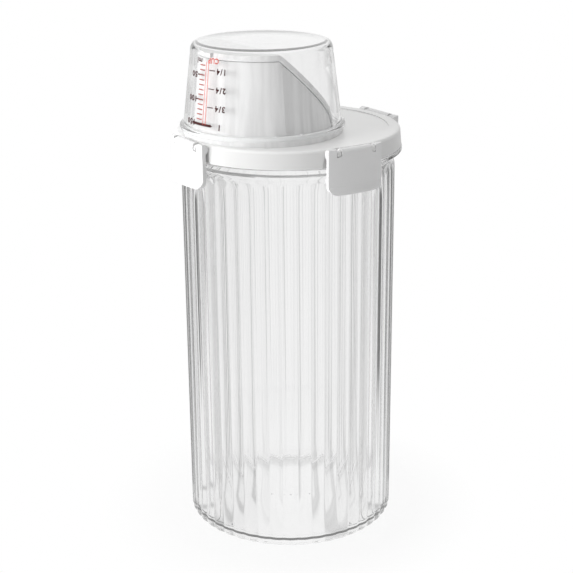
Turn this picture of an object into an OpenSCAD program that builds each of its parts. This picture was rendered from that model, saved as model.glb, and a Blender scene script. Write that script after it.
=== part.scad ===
// Clear ribbed storage jar with a four-latch lid, a pouring spout closed by a
// flip flap, and a measuring cup that stands upside down over the spout as its cap.
// Millimetres, +Z up. The origin is the middle of the jar's base.

/* [Container] */
// Outer radius over the crests of the ribs
body_r = 55; // [48:0.5:62]
// Thickness of the jar's wall between two ribs
body_wall = 2.2; // [1.6:0.1:2.6]
// Number of upright ribs round the jar
rib_count = 48; // [36:2:60]
// Radius of the round back of one rib
rib_r = 8; // [6:0.5:12]
// Height at which the ribs end
rib_top = 190; // [150:1:220]
// Height of the flared shoulder from the ribs to the underside of the flange
shoulder_h = 10.5; // [8:0.5:13]
// How far the flange stands out past the neck
flange_out = 4.3; // [3:0.1:5]
// Thickness of the flange's edge
flange_t = 2.5; // [2:0.1:3]
// Height of the upright rim above the flange
rim_h = 6.5; // [6:0.1:8]
// Thickness of the upright rim
rim_wall = 2.2; // [1.8:0.1:2.6]
// Thickness of the jar's floor
floor_t = 3.2; // [2.8:0.1:4]
// Depth of the hollow under the floor
foot_depth = 1.2; // [0.8:0.1:1.6]
// Width of the foot ring
foot_w = 7; // [5:0.5:9]
// Rounding of the jar's outer bottom edge
base_round = 2.2; // [1.5:0.1:3]
// Rounding between the floor and the wall inside
floor_round = 4; // [3:0.5:6]

/* [Lid] */
// Thickness of the lid's top
lid_t = 2.4; // [2:0.1:3]
// How far the lid's skirt stands in from the edge of the flange
skirt_in = 0.3; // [0.2:0.1:0.8]
// Thickness of the lid's skirt
skirt_wall = 1.7; // [1.4:0.1:2]
// Rounding of the lid's top edge
lid_round = 1.5; // [1:0.1:2]
// Width of the raised band round the lid's top
band_w = 6; // [4:0.5:9]
// Depth of the disc inside that band
disc_drop = 0.5; // [0.3:0.1:0.8]
// Thickness of the plug ring that goes into the jar
plug_wall = 2.2; // [2:0.1:3]
// How far the plug ring reaches below the lid's top plate
plug_h = 6.3; // [5.5:0.1:7]
// Height of the lid's silicone ring
seal_h = 2.6; // [2:0.1:3]
// How far the groove of that ring is cut into the plug
seal_groove = 1.4; // [1:0.1:1.6]

/* [Latches] */
// Width of one latch
latch_w = 31; // [26:0.5:34]
// Height of one latch from its lower edge to its hinge
latch_drop = 19.6; // [17:0.2:22]
// Thickness of the latch's plate
latch_t = 1.8; // [1.5:0.1:2.2]
// Rounding of the latch's lower corners
latch_round = 4.2; // [3:0.2:6]
// Turn of the first latch about the jar's axis
latch_turn = 33; // [20:1:45]
// Gap left in the skirt on each side of a latch
notch_side = 2.2; // [1.5:0.1:3]
// Radius of the hinge roll along the latch's top
roll_r = 2.6; // [2.4:0.1:3]
// How far that roll stands above the lid's top
roll_rise = 0.5; // [0.3:0.1:1]
// How far the thumb lip stands out
thumb_out = 1.2; // [0.8:0.1:1.6]
// Height of the thumb lip
thumb_h = 4.4; // [3:0.2:6]
// Radius of a latch's hinge pin
latch_pin_r = 1; // [0.8:0.05:1.1]
// Distance from the latch's middle to each hinge ear
ear_at = 10; // [8:0.5:11]
// Thickness of a hinge ear
ear_t = 2; // [1.6:0.1:2.4]

/* [Spout] */
// Room between the spout's collar and the latch notch behind it
collar_back = 0.4; // [0.3:0.1:2]
// Outer radius of the spout at its top
spout_top_r = 31; // [28:0.25:31.5]
// How much the spout's radius grows for each mm down
spout_draft = 0.098; // [0.06:0.002:0.1]
// Thickness of the spout's wall
spout_wall = 2.4; // [2:0.1:2.8]
// How far the front of the spout is set back under the flap
front_inset = 0.8; // [0.5:0.1:1]
// Height of the closed flap's top above the lid's disc
spout_h = 42.1; // [38:0.5:44]
// Length of the flap's flat foot, in from the edge of the spout
foot_flat = 4.94; // [4.4:0.02:6]
// Slope of the flap's long face
slope = 43.2; // [38:0.2:45]
// Rounding between the flap's flat top and its slope
bend_round = 4; // [3:0.5:6]
// How far the collar stands out past the cup's wall
collar_out = 0.45; // [0.3:0.05:0.8]
// Height of the collar above the lid's disc
collar_h = 2.5; // [2:0.1:2.8]
// How far the low ring inside the cup's lip stands out past the spout
boss_out = 2.46; // [2.2:0.02:2.8]
// Height of that ring above the collar
boss_h = 1.4; // [1:0.1:1.5]
// Length of the spigot that goes down through the lid
spigot_h = 4.6; // [4.2:0.1:5.4]

/* [Flap] */
// Thickness of the flap
flap_t = 1.6; // [1.3:0.1:1.8]
// Thickness of the flap's silicone seal
flap_seal_t = 0.8; // [0.6:0.1:1]
// How far the flap stands out over the set-back front
flap_over = 0.3; // [0.1:0.1:0.5]
// Depth of the locating lip under the flap's flat top
lip_h = 3.4; // [3:0.1:5]
// Thickness of the locating lip
lip_t = 1.4; // [1:0.1:1.8]
// How far the finger tab stands out
tab_out = 1.4; // [0.8:0.1:1.6]
// Width of the finger tab
tab_w = 12; // [8:0.5:14]
// How far the flap's hinge stands in from the edge of the spout
hinge_in = 1.54; // [1.2:0.02:1.8]
// Radius of the flap's hinge knuckle
knuckle_r = 1.6; // [1.5:0.05:1.7]
// Width of the flap's hinge knuckle
knuckle_w = 13; // [10:0.5:14]
// Thickness of each ear of the flap's hinge
flap_ear_t = 2.2; // [1.6:0.1:2.6]
// Radius of the flap's hinge pin
flap_pin_r = 0.8; // [0.6:0.05:0.85]

/* [Cup] */
// Room between the closed flap's top and the cup's closed end
cup_headroom = 1.8; // [1.2:0.1:4]
// Thickness of the cup's wall
cup_wall = 1.8; // [1.5:0.1:1.9]
// Room between the low ring on the collar and the cup's wall
cup_room = 0.65; // [0.5:0.05:1]
// How much the cup's radius shrinks for each mm of height
cup_draft = 0.121; // [0.09:0.001:0.125]
// Rounding of the closed end's edge
cup_round = 4; // [3:0.5:5]
// How far the lip flares out
cup_flare = 2.05; // [1.8:0.05:2.4]
// Height of the flared lip
cup_lip_h = 3.3; // [3:0.1:4]

/* [Clearances] */
// Gap between pieces that lift or swing apart
gap = 0.3; // [0.2:0.05:0.4]
// Gap between a hinge pin and the bore that turns on it
run_fit = 0.05; // [0.03:0.01:0.08]
// Gap between pieces that stay together
seat_fit = 0.02; // [0.01:0.01:0.05]

/* [Hidden] */
$fn = 96;
latch_count = 4;
far = 200;
// Height over which the ribs slope back to the neck
rib_end_h = 3.5;
// How much further out the mouth is than the bore below it
mouth_step = 1;
// Rounding of the rim's top
rim_round = 0.6;
// Radius of the moulding mark under the floor
gate_r = 3;
// Height of a latch's catch rib, and its place below the flange
catch_h = 2;
catch_below = 4;
// How far a hinge ear's stem rises above its pin
stem_rise = 0.4;
// Size of the small stops on the low ring, and their turns about the spout
lug = 1.6;
lug_turns = [-111, -90, 69, 90];
// Width and reach of the snap hooks on the spigot
hook_w = 10;
hook_out = 1.1;
// How far a soft ring's lips stand out
seal_lip = 0.7;
// Length of the flap hinge knuckle's root
knuckle_root = 3.4;

// Radius at which two neighbouring ribs meet
rib_axis_r = body_r - rib_r;
half_pitch = 180 / rib_count;
valley_r = rib_axis_r * cos(half_pitch) + sqrt(pow(rib_r, 2) - pow(rib_axis_r * sin(half_pitch), 2));
bore_r = valley_r - body_wall;
// The smooth neck above the ribs
neck_r = valley_r - gap;
flange_r = neck_r + flange_out;
flange_under = rib_top + shoulder_h;
flange_top = flange_under + flange_t;
rim_top = flange_top + rim_h;
mouth_r = bore_r + mouth_step;
rim_r = mouth_r + rim_wall;
// Radius of the hollow curve from the neck out to the flange
shoulder_r = (pow(shoulder_h, 2) + pow(flange_out, 2)) / (2 * flange_out);

// The lid
skirt_bottom = flange_top + gap;
plate_bottom = rim_top + gap;
lid_top = plate_bottom + lid_t;
disc_top = lid_top - disc_drop;
skirt_r = flange_r - skirt_in;
lid_top_r = skirt_r - 2 * gap;
plug_r = mouth_r - seal_lip;
plug_bottom = plate_bottom - plug_h;
seal_z = plug_bottom + seal_groove;

// The latches
plate_r = flange_r + latch_t + 1;
plate_in_r = plate_r - latch_t;
pivot_r = plate_r - roll_r;
pivot_z = lid_top + roll_rise - roll_r;
latch_bottom = pivot_z - latch_drop;
notch_in = pivot_r - roll_r - gap - 0.1;
ear_r = latch_pin_r + 0.8;
catch_z = flange_under - catch_below;
pin_l = 2 * (ear_at + ear_t / 2);

// The spout
spout_turn = latch_turn;
collar_top = disc_top + collar_h;
boss_top = collar_top + boss_h;
flap_top = disc_top + spout_h;
wall_top = flap_top - flap_t - flap_seal_t - gap;
rim_drop = flap_top - wall_top;
foot_top = boss_top + rim_drop;
// The edge of the spout where it meets the low ring
foot_r = spout_radius(boss_top);
bend_at = foot_r - foot_flat - (flap_top - foot_top) / tan(slope);
boss_r = foot_r + boss_out;
cup_r = boss_r + cup_room + cup_wall;
collar_r = cup_r + collar_out;
spout_offset = notch_in - collar_r - collar_back;
spigot_r = spout_radius(disc_top) - spout_wall / 2;
spigot_bottom = disc_top - spigot_h;
flap_hinge_at = foot_r - hinge_in;
flap_hinge_z = boss_top + gap + knuckle_r;
flap_ear_mid = (knuckle_w + flap_ear_t) / 2 + gap;

// The cup
cup_bottom = collar_top + gap;
cup_top = flap_top + cup_headroom + cup_wall;
lip_top = cup_bottom + cup_lip_h;
cup_draft_angle = atan(cup_draft);
cup_round_z = cup_top - cup_round;
cup_round_r = cup_radius(cup_round_z) - cup_round;

// Outer radius of the spout's cone at a height
function spout_radius(z) = spout_top_r + spout_draft * (flap_top - z);
// Outer radius of the cup's wall at a height
function cup_radius(z) = cup_r - cup_draft * (z - lip_top);

// Places its children in a latch's frame: +X points outwards
module at_latch(i) {
    rotate([0, 0, latch_turn + i * 360 / latch_count]) children();
}

// Places its children in the spout's frame: +X points the way the flap slopes down
module at_spout() {
    rotate([0, 0, spout_turn]) translate([-spout_offset, 0, 0]) children();
}

// Stands a flat X-Z outline up and gives it a width along Y, centred
module across(width) {
    rotate([90, 0, 0]) translate([0, 0, -width / 2]) linear_extrude(width) children();
}

// A round bar along Y
module bar(x, z, r, length) {
    translate([x, 0, z]) rotate([90, 0, 0]) cylinder(r = r, h = length, center = true);
}

// ---- Container ----

// The scalloped outline of the ribbed wall
module rib_outline() {
    circle(r = rib_axis_r + rib_r / 2);
    for (i = [0 : rib_count - 1])
        rotate(i * 360 / rib_count) translate([rib_axis_r, 0]) circle(r = rib_r);
}

// What the ribs are cut to: a rounded base and sloping rib ends
module rib_envelope() {
    over_r = body_r + 0.1;
    slope_z = rib_top + 0.5 - rib_end_h;
    translate([0, base_round]) square([over_r, slope_z - base_round]);
    square([over_r - base_round, slope_z]);
    translate([over_r - base_round, base_round]) circle(r = base_round);
    polygon([[0, slope_z], [over_r, slope_z], [neck_r, slope_z + rib_end_h], [0, slope_z + rib_end_h]]);
}

// Neck, shoulder, flange and rim in section
module neck_profile() {
    translate([0, rib_top - 2]) square([neck_r, flange_top - rib_top + 2]);
    difference() {
        translate([0, rib_top]) square([flange_r, flange_top - rib_top]);
        translate([neck_r + shoulder_r, rib_top]) circle(r = shoulder_r);
    }
    square([rim_r - rim_round, rim_top]);
    translate([0, flange_top - 1]) square([rim_r, rim_top - flange_top + 1 - rim_round]);
    translate([rim_r - rim_round, rim_top - rim_round]) circle(r = rim_round);
}

// The inside of the jar in section
module inside_profile() {
    flat_r = bore_r - floor_round;
    translate([0, floor_t + floor_round]) square([bore_r, rim_top]);
    translate([0, floor_t]) square([flat_r, floor_round]);
    intersection() {
        translate([flat_r, floor_t + floor_round]) circle(r = floor_round);
        translate([0, floor_t]) square([bore_r, floor_round]);
    }
    polygon([
        [0, rib_top], [bore_r, rib_top], [mouth_r, flange_under - 2],
        [mouth_r, rim_top + 1], [0, rim_top + 1]
    ]);
}

module container() {
    color([0.9, 0.93, 0.94, 0.35]) difference() {
        union() {
            intersection() {
                linear_extrude(rib_top + 1) rib_outline();
                rotate_extrude() intersection() {
                    rib_envelope();
                    square([far, far * 2]);
                }
            }
            rotate_extrude() difference() {
                neck_profile();
                square([far, rib_top - 2]);
            }
        }
        rotate_extrude() inside_profile();
        // hollow under the floor, with the small moulding mark left in its middle
        difference() {
            translate([0, 0, -1]) cylinder(r = body_r - foot_w, h = foot_depth + 1);
            translate([0, 0, foot_depth / 2]) cylinder(r = gate_r, h = foot_depth);
        }
    }
}

// ---- Lid ----

// Top, skirt and plug ring in section
module lid_profile() {
    difference() {
        union() {
            translate([0, plate_bottom]) square([lid_top_r - lid_round, lid_t]);
            polygon([
                [0, skirt_bottom], [skirt_r, skirt_bottom],
                [lid_top_r, lid_top - lid_round], [0, lid_top - lid_round]
            ]);
            translate([lid_top_r - lid_round, lid_top - lid_round]) circle(r = lid_round);
        }
        translate([0, 0]) square([skirt_r - skirt_wall, plate_bottom]);
        translate([0, disc_top]) square([lid_top_r - band_w, disc_drop + 1]);
    }
    difference() {
        translate([plug_r - plug_wall, plug_bottom]) square([plug_wall, plug_h + 0.1]);
        translate([plug_r - seal_groove, seal_z]) square([seal_groove + 1, seal_h]);
    }
}

// One hinge ear of a latch: a round eye on a braced stem out of the lid's top
module latch_ear() {
    root = notch_in - lid_round;
    stem_top = pivot_z + stem_rise;
    translate([pivot_r, pivot_z]) circle(r = ear_r);
    polygon([
        [root, plate_bottom], [notch_in + gap, plate_bottom], [pivot_r, pivot_z - ear_r],
        [pivot_r, stem_top], [notch_in + lid_round, stem_top], [notch_in, lid_top - gap], [root, lid_top - gap]
    ]);
}

module lid() {
    notch_w = latch_w + 2 * notch_side;
    color([0.95, 0.95, 0.94]) difference() {
        union() {
            difference() {
                rotate_extrude() lid_profile();
                for (i = [0 : latch_count - 1]) at_latch(i)
                    translate([notch_in, -notch_w / 2, skirt_bottom - 1])
                        cube([far, notch_w, lid_top - skirt_bottom + 2]);
            }
            for (i = [0 : latch_count - 1], side = [-1, 1]) at_latch(i)
                translate([0, side * ear_at, 0]) across(ear_t) latch_ear();
        }
        for (i = [0 : latch_count - 1]) at_latch(i) bar(pivot_r, pivot_z, latch_pin_r + seat_fit, pin_l + 2);
        at_spout() translate([0, 0, plate_bottom - 1]) cylinder(r = spigot_r + gap, h = lid_t + 2);
        // seat of the collar in the raised band
        at_spout() translate([0, 0, disc_top]) cylinder(r = collar_r + seat_fit, h = lid_t);
    }
}

// Silicone ring in the plug's groove, with two small lips
module lid_gasket() {
    inner = plug_r - seal_groove + run_fit;
    low = seal_z + run_fit;
    high = seal_z + seal_h - run_fit;
    out = mouth_r - gap - inner;
    color([0.86, 0.87, 0.87]) rotate_extrude() {
        translate([inner, low]) square([plug_r - inner, high - low]);
        translate([inner, low]) square([out, seal_lip]);
        translate([inner, high - seal_lip]) square([out, seal_lip]);
    }
}

// ---- Latches ----

// Outline of a latch seen from outside: rounded lower corners
module latch_front() {
    half = latch_w / 2;
    translate([-half, latch_bottom + latch_round]) square([latch_w, lid_top + far - latch_bottom]);
    translate([latch_round - half, latch_bottom]) square([latch_w - 2 * latch_round, latch_round + 1]);
    for (side = [-1, 1])
        translate([side * (half - latch_round), latch_bottom + latch_round]) circle(r = latch_round);
}

// Curved plate, catch rib and thumb lip in section
module latch_profile() {
    translate([plate_in_r, latch_bottom]) square([latch_t, pivot_z - latch_bottom]);
    translate([flange_r + gap, catch_z]) square([plate_in_r - flange_r, catch_h]);
    polygon([
        [plate_r - 0.2, latch_bottom], [plate_r + thumb_out, latch_bottom],
        [plate_r + thumb_out, latch_bottom + 0.9], [plate_r - 0.2, latch_bottom + thumb_h]
    ]);
}

// Room for one ear through the whole swing of the latch
module ear_slot() {
    reach = far / 10;
    room = ear_r + gap;
    translate([pivot_r, pivot_z]) {
        circle(r = room);
        polygon([[-reach, -room], [0, -room], [room, 0], [room, reach], [-reach, reach]]);
    }
}

module latch(i) {
    color([0.94, 0.94, 0.93]) at_latch(i) difference() {
        union() {
            intersection() {
                rotate_extrude() latch_profile();
                rotate([90, 0, 90]) linear_extrude(far) latch_front();
            }
            intersection() {
                bar(pivot_r, pivot_z, roll_r, latch_w);
                cylinder(r = plate_r, h = far * 2);
            }
        }
        for (side = [-1, 1])
            translate([0, side * ear_at, 0]) across(ear_t + 2 * gap) ear_slot();
        bar(pivot_r, pivot_z, latch_pin_r + run_fit, pin_l + 4 * gap);
    }
}

module latch_pin(i) {
    color([0.7, 0.71, 0.73]) at_latch(i) bar(pivot_r, pivot_z, latch_pin_r, pin_l);
}

module latch_1() { latch(0); }
module latch_2() { latch(1); }
module latch_3() { latch(2); }
module latch_4() { latch(3); }
module latch_pin_1() { latch_pin(0); }
module latch_pin_2() { latch_pin(1); }
module latch_pin_3() { latch_pin(2); }
module latch_pin_4() { latch_pin(3); }

// ---- Spout and flap ----

// All that lies deeper than a distance under the closed flap's outer face
module under_flap(depth) {
    r = bend_round;
    translate([bend_at - r * tan(slope / 2), flap_top - r]) {
        translate([-far, -far]) square([far, far + r - depth]);
        rotate(-slope) translate([0, -far]) square([far, far + r - depth]);
        circle(r = r - depth);
    }
    translate([0, -far]) square([far, far + foot_top - depth]);
}

// The spout's cone, grown or shrunk by a distance
module spout_cone(grow) {
    z0 = disc_top - 1;
    z1 = flap_top + 2;
    translate([0, 0, z0])
        cylinder(r1 = spout_radius(z0) + grow, r2 = spout_radius(z1) + grow, h = z1 - z0);
}

// One ear of the flap's hinge
module flap_ear() {
    translate([flap_hinge_at, flap_hinge_z]) circle(r = knuckle_r + 0.1);
    translate([flap_hinge_at - knuckle_r - 0.1, collar_top - 1])
        square([2 * knuckle_r + 0.2, flap_hinge_z - collar_top + 1]);
}

module spout() {
    color([0.96, 0.96, 0.95]) at_spout() difference() {
        union() {
            // tapered tube, cut to the flap's bent line, its front set back
            intersection() {
                difference() {
                    spout_cone(0);
                    difference() {
                        translate([bend_at, -far, boss_top]) cube([far, far * 2, far]);
                        spout_cone(-front_inset);
                    }
                }
                across(far) under_flap(rim_drop);
                translate([0, 0, disc_top]) cylinder(r = far, h = far);
            }
            translate([0, 0, disc_top]) cylinder(r = collar_r, h = collar_h);
            translate([0, 0, disc_top]) cylinder(r = boss_r, h = boss_top - disc_top);
            // four small stops for the cup's lip on the low ring
            for (turn = lug_turns) rotate([0, 0, turn])
                translate([boss_r - lug - gap, -lug / 2, boss_top - gap]) cube(lug);
            for (side = [-1, 1])
                translate([0, side * flap_ear_mid, 0]) across(flap_ear_t) flap_ear();
            // spigot with four snap hooks under the lid
            translate([0, 0, spigot_bottom]) cylinder(r = spigot_r, h = spigot_h + 0.5);
            intersection() {
                translate([0, 0, spigot_bottom]) cylinder(r1 = spigot_r, r2 = spigot_r + hook_out,
                                                          h = plate_bottom - gap - spigot_bottom);
                union() for (turn = [45, 135]) rotate([0, 0, turn])
                    translate([-far, -hook_w / 2, 0]) cube([far * 2, hook_w, far * 2]);
            }
        }
        // the bore, straight through the spigot
        intersection() {
            spout_cone(-spout_wall);
            translate([0, 0, disc_top]) cylinder(r = far, h = far);
        }
        translate([0, 0, spigot_bottom - 1])
            cylinder(r = spout_radius(disc_top) - spout_wall, h = spigot_h + 1 + seat_fit);
        bar(flap_hinge_at, flap_hinge_z, flap_pin_r + seat_fit, far);
    }
}

// Silicone ring round the low ring on the collar, inside the cup's lip
module cup_gasket() {
    inner = boss_r + seat_fit;
    lip = 0.8;
    width = cup_radius(lip_top) - cup_wall + cup_flare - gap - inner;
    color([0.86, 0.87, 0.87]) at_spout() rotate_extrude() {
        translate([inner, collar_top]) square([width - seal_lip, 2 * lip]);
        translate([inner + width - lip, collar_top + lip]) circle(r = lip);
    }
}

module flap() {
    slot = flap_ear_t + 2 * gap;
    lip_out = -spout_wall - gap - 0.1;
    color([0.97, 0.97, 0.96]) at_spout() difference() {
        union() {
            // the bent panel
            intersection() {
                across(far) difference() {
                    under_flap(0);
                    under_flap(flap_t);
                }
                spout_cone(flap_over);
            }
            // locating lip inside the tall half of the mouth
            intersection() {
                difference() {
                    spout_cone(lip_out);
                    spout_cone(lip_out - lip_t);
                }
                translate([-far, -far, wall_top - lip_h + gap]) cube([far + bend_at, far * 2, lip_h + 1]);
                across(far) under_flap(flap_t / 2);
            }
            // finger tab over the tall wall
            intersection() {
                translate([-far, -tab_w / 2, flap_top - flap_t]) cube([far, tab_w, flap_t]);
                difference() {
                    cylinder(r = spout_top_r + flap_over + tab_out, h = far * 2);
                    cylinder(r = spout_top_r - spout_wall, h = far * 2);
                }
            }
            // hinge knuckle and its root
            bar(flap_hinge_at, flap_hinge_z, knuckle_r, knuckle_w);
            translate([flap_hinge_at - knuckle_root, -knuckle_w / 2, foot_top - flap_t])
                cube([knuckle_root, knuckle_w, flap_t]);
        }
        for (side = [-1, 1])
            translate([flap_hinge_at - knuckle_r - 0.1 - gap, side * flap_ear_mid - slot / 2, 0])
                cube([far, slot, far * 2]);
        bar(flap_hinge_at, flap_hinge_z, flap_pin_r + run_fit, knuckle_w + 1);
    }
}

// Flat silicone seal under the flap, over the top of the spout's wall
module flap_seal() {
    color([0.88, 0.89, 0.89]) at_spout() difference() {
        intersection() {
            across(far) difference() {
                under_flap(flap_t);
                under_flap(flap_t + flap_seal_t);
            }
            spout_cone(0);
        }
        spout_cone(-spout_wall - gap);
        translate([flap_hinge_at - knuckle_r - 0.1 - gap, -far, 0]) cube([far, far * 2, far * 2]);
    }
}

module flap_pin() {
    color([0.7, 0.71, 0.73]) at_spout()
        bar(flap_hinge_at, flap_hinge_z, flap_pin_r, knuckle_w + 2 * (gap + flap_ear_t));
}

// ---- Cup ----

// The cup in section, thinned by a distance all round its closed end
module cup_body(inset) {
    r = cup_round - inset;
    side = [cos(cup_draft_angle), sin(cup_draft_angle)];
    foot = cup_radius(cup_bottom) - inset / side[0];
    polygon([
        [0, cup_bottom - inset], [foot, cup_bottom - inset], [foot, cup_bottom],
        [cup_round_r + r * side[0], cup_round_z + r * side[1]],
        [cup_round_r, cup_round_z + r], [0, cup_round_z + r]
    ]);
    translate([cup_round_r, cup_round_z]) circle(r = r);
}

module cup() {
    lip_in = cup_radius(lip_top) - cup_wall + cup_flare;
    color([0.92, 0.94, 0.95, 0.35]) at_spout() rotate_extrude() difference() {
        union() {
            cup_body(0);
            polygon([
                [0, cup_bottom], [cup_radius(lip_top) + cup_flare, cup_bottom],
                [cup_radius(lip_top) + cup_flare, cup_bottom + 1.9],
                [cup_radius(lip_top), lip_top], [0, lip_top]
            ]);
        }
        cup_body(cup_wall);
        polygon([
            [0, cup_bottom - 1], [lip_in, cup_bottom - 1], [lip_in, cup_bottom + 1.6],
            [cup_radius(lip_top) - cup_wall - 0.05, lip_top], [0, lip_top]
        ]);
        translate([-far, 0]) square([far, far * 2]);
    }
}

container();
lid();
lid_gasket();
spout();
cup_gasket();
flap();
flap_seal();
flap_pin();
cup();
latch_1();
latch_2();
latch_3();
latch_4();
latch_pin_1();
latch_pin_2();
latch_pin_3();
latch_pin_4();
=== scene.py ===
"""Looks of a clear ribbed cereal jar with a latched lid, a flip spout and a measuring cup.

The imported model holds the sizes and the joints. This script adds the finishes, the clear
mouldings of the jar and the cup, the printed scale, the studio and the camera.
"""

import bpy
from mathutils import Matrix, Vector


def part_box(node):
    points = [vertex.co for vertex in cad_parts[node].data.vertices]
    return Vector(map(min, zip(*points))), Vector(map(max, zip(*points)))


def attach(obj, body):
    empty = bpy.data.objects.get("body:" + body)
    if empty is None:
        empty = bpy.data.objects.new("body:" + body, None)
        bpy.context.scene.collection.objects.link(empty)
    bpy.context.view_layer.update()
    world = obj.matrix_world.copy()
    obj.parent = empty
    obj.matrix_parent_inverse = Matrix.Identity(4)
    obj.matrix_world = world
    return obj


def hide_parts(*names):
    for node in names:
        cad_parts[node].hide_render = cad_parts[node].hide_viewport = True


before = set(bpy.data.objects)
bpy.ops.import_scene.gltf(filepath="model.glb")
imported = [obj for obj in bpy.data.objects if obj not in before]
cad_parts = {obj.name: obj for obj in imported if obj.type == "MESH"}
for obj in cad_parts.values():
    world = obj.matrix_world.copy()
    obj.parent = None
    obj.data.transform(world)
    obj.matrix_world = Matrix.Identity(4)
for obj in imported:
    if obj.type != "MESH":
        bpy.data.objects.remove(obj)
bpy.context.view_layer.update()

import logging
import math
from dataclasses import dataclass, field
from enum import Enum
from typing import Optional, Sequence, Union

import bmesh
import bpy
from mathutils import Matrix, Vector

LOG = logging.getLogger("cereal_jar")
MM = 0.001

Material = bpy.types.Material
Mesh = bpy.types.Mesh
Node = bpy.types.Node
Socket = bpy.types.NodeSocket
Tree = bpy.types.NodeTree
Colour = tuple[float, float, float]
Place = tuple[float, float, float]
Point = tuple[float, float]
Sizes = dict[str, Union[int, float]]
Operand = Union["Signal", float]


class Bodies(Enum):
    """The moving bodies that the made pieces ride on."""

    JAR = "jar"
    CUP = "cup"


class Slots(Enum):
    """The record's material slots."""

    CLEAR = "clear_plastic"
    WHITE = "white_plastic"
    LATCH = "latch_plastic"
    SILICONE = "silicone"
    STEEL = "steel"


# ---- node tools


def grey(level: float) -> Colour:
    """A grey, from 0 for black to 1 for white."""
    return (level, level, level)


class Signal:
    """A number inside a node tree, with arithmetic written as Python operators."""

    def __init__(self, tree: Tree, socket: Socket) -> None:
        """Keeps the tree and the output socket that carries the number."""
        self.tree = tree
        self.socket = socket

    def _maths(self, operation: str, first: Operand, second: Operand) -> "Signal":
        """Adds one Math node.

        Args:
            operation: The Math node's operation.
            first: A Signal or a number for the first input.
            second: A Signal or a number for the second input.

        Returns:
            The node's result.
        """
        node = self.tree.nodes.new("ShaderNodeMath")
        node.operation = operation
        for slot, value in zip(node.inputs, (first, second)):
            if isinstance(value, Signal):
                self.tree.links.new(value.socket, slot)
            else:
                slot.default_value = float(value)
        return Signal(self.tree, node.outputs[0])

    def __add__(self, other: Operand) -> "Signal":
        """Self plus other."""
        return self._maths("ADD", self, other)

    def __sub__(self, other: Operand) -> "Signal":
        """Self minus other."""
        return self._maths("SUBTRACT", self, other)

    def __rsub__(self, other: Operand) -> "Signal":
        """Other minus self."""
        return self._maths("SUBTRACT", other, self)

    def __mul__(self, other: Operand) -> "Signal":
        """Self times other."""
        return self._maths("MULTIPLY", self, other)

    def __truediv__(self, other: Operand) -> "Signal":
        """Self divided by other."""
        return self._maths("DIVIDE", self, other)

    def __rtruediv__(self, other: Operand) -> "Signal":
        """Other divided by self."""
        return self._maths("DIVIDE", other, self)

    def __abs__(self) -> "Signal":
        """The size of self without its sign."""
        return self._maths("ABSOLUTE", self, 0.0)

    def root(self) -> "Signal":
        """The square root of self."""
        return self._maths("SQRT", self, 0.0)

    def modulo(self, step: Operand) -> "Signal":
        """What is left of self above a whole number of steps."""
        return self._maths("FLOORED_MODULO", self, step)

    def angle(self, along: "Signal") -> "Signal":
        """The angle in radians whose sine side is self and whose cosine side is along."""
        return self._maths("ARCTAN2", self, along)

    def sine(self) -> "Signal":
        """The sine of self in radians."""
        return self._maths("SINE", self, 0.0)

    def cosine(self) -> "Signal":
        """The cosine of self in radians."""
        return self._maths("COSINE", self, 0.0)

    def clamp(self, low: float = 0.0, high: float = 1.0) -> "Signal":
        """Self kept between two numbers."""
        return self._maths("MINIMUM", self._maths("MAXIMUM", self, low), high)

    def ramp(self, start: float, gain: float = 1.0, high: float = 1.0) -> "Signal":
        """A rise from 0 where self is at the start, by a gain, up to a highest value."""
        return ((self - start) * gain).clamp(0.0, high)

    def around(self, middle: Operand, swing: float) -> "Signal":
        """A noise from 0 to 1 turned into a swing about a middle value."""
        return (self - 0.5) * swing + middle


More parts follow.
